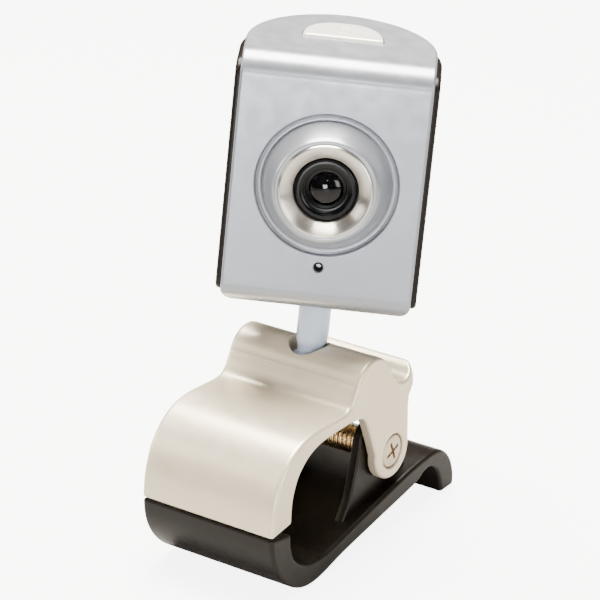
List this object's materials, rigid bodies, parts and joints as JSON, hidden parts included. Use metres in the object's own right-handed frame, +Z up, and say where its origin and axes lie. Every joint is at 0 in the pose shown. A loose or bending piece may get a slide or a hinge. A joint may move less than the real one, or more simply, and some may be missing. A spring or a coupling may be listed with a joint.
{
  "type": "webcam on a spring clip stand",
  "caption": "Small webcam with a raised focusing lens and snapshot button, on a ball-jointed stalk over a sprung desk and monitor clip.",
  "frame": {"origin": "on the desk, at the centre of the footprint of the whole object as it rests", "axes": "+X along the clip's width towards the screw head, +Y to the rear of the clip, +Z up"},
  "size_m": [0.0408, 0.0668, 0.1038],
  "materials": {
    "dark_plastic": "satin",
    "pearl_plastic": "pearlescent lacquer",
    "nickel_screw": "warm nickel plate",
    "spring_wire": "oiled spring steel",
    "inner_plastic": "moulded",
    "steel_fastener": "zinc plate",
    "nylon": "moulded",
    "stalk_plastic": "polished",
    "soft_rubber": "moulded",
    "bright_bezel": "turned and plated",
    "black_plastic": "semi gloss",
    "coated_glass": "coated",
    "filter_glass": "coated",
    "sensor_package": "ceramic",
    "board_laminate": "solder mask",
    "chip_package": "moulded",
    "button_plastic": "satin",
    "microphone_can": "drawn"
  },
  "bodies": {
    "clip_base": {"lower_jaw": "dark_plastic", "torsion_spring": "spring_wire"},
    "clip_top": {"upper_jaw": "pearl_plastic", "pivot_screw": "nickel_screw", "pivot_nut": "nickel_screw", "ball_retainer": "inner_plastic", "retainer_screws": "steel_fastener"},
    "cup": {"ball_cup": "nylon"},
    "stalk": {"stalk": "stalk_plastic", "stalk_washer": "soft_rubber", "stalk_clip": "steel_fastener"},
    "head": {"front_shell": "pearl_plastic", "rear_shell": "dark_plastic", "case_screws": "steel_fastener", "cable_grommet": "soft_rubber", "lens_bezel": "bright_bezel", "lens_holder": "black_plastic", "ir_filter": "filter_glass", "image_sensor": "sensor_package", "circuit_board": "board_laminate", "board_screws": "steel_fastener", "controller_chip": "chip_package", "snapshot_switch": "inner_plastic", "microphone": "microphone_can", "microphone_boot": "soft_rubber"},
    "lens_cell": {"front_lens": "coated_glass", "rear_lens": "coated_glass"},
    "focus_ring": {"lens_barrel": "black_plastic"},
    "button": {"snapshot_button": "button_plastic"}
  },
  "joints": [
    {"name": "jaw_hinge", "type": "hinge", "parent": "clip_base", "child": "clip_top", "pos_m": [-0.0024, 0.0093, 0.0177], "axis": [-1, 0, 0], "range_deg": [0, 28], "stiffness_Nm_per_rad": 0.35, "springref_deg": -28.65},
    {"name": "ball_tilt", "type": "hinge", "parent": "clip_top", "child": "cup", "pos_m": [-0.0024, 0.0021, 0.0352], "axis": [1, 0, 0], "range_deg": [-1.5, 18]},
    {"name": "ball_lean", "type": "hinge", "parent": "cup", "child": "stalk", "pos_m": [-0.0024, 0.0021, 0.0352], "axis": [0, 0.9854, -0.1702], "range_deg": [-6, 6]},
    {"name": "head_swivel", "type": "hinge", "parent": "stalk", "child": "head", "pos_m": [-0.0024, 0.0021, 0.0352], "axis": [0, 0.1702, 0.9854], "range_deg": [-150, 90]},
    {"name": "focus_travel", "type": "slide", "parent": "head", "child": "lens_cell", "axis": [0.5225, -0.8402, 0.1451], "range_m": [-0.000236, 0.000236]},
    {"name": "focus_turn", "type": "hinge", "parent": "lens_cell", "child": "focus_ring", "pos_m": [0.00387, -0.001, 0.07734], "axis": [0.5225, -0.8402, 0.1451], "range_deg": [-170, 170]},
    {"name": "button_press", "type": "slide", "parent": "head", "child": "button", "axis": [0, -0.1702, -0.9854], "range_m": [0, 0.0006], "stiffness_N_per_m": 800, "springref_m": -0.0005}
  ],
  "couplings": [
    {"joint": "focus_turn", "follows": "focus_travel", "rad_per_m": 12566}
  ]
}
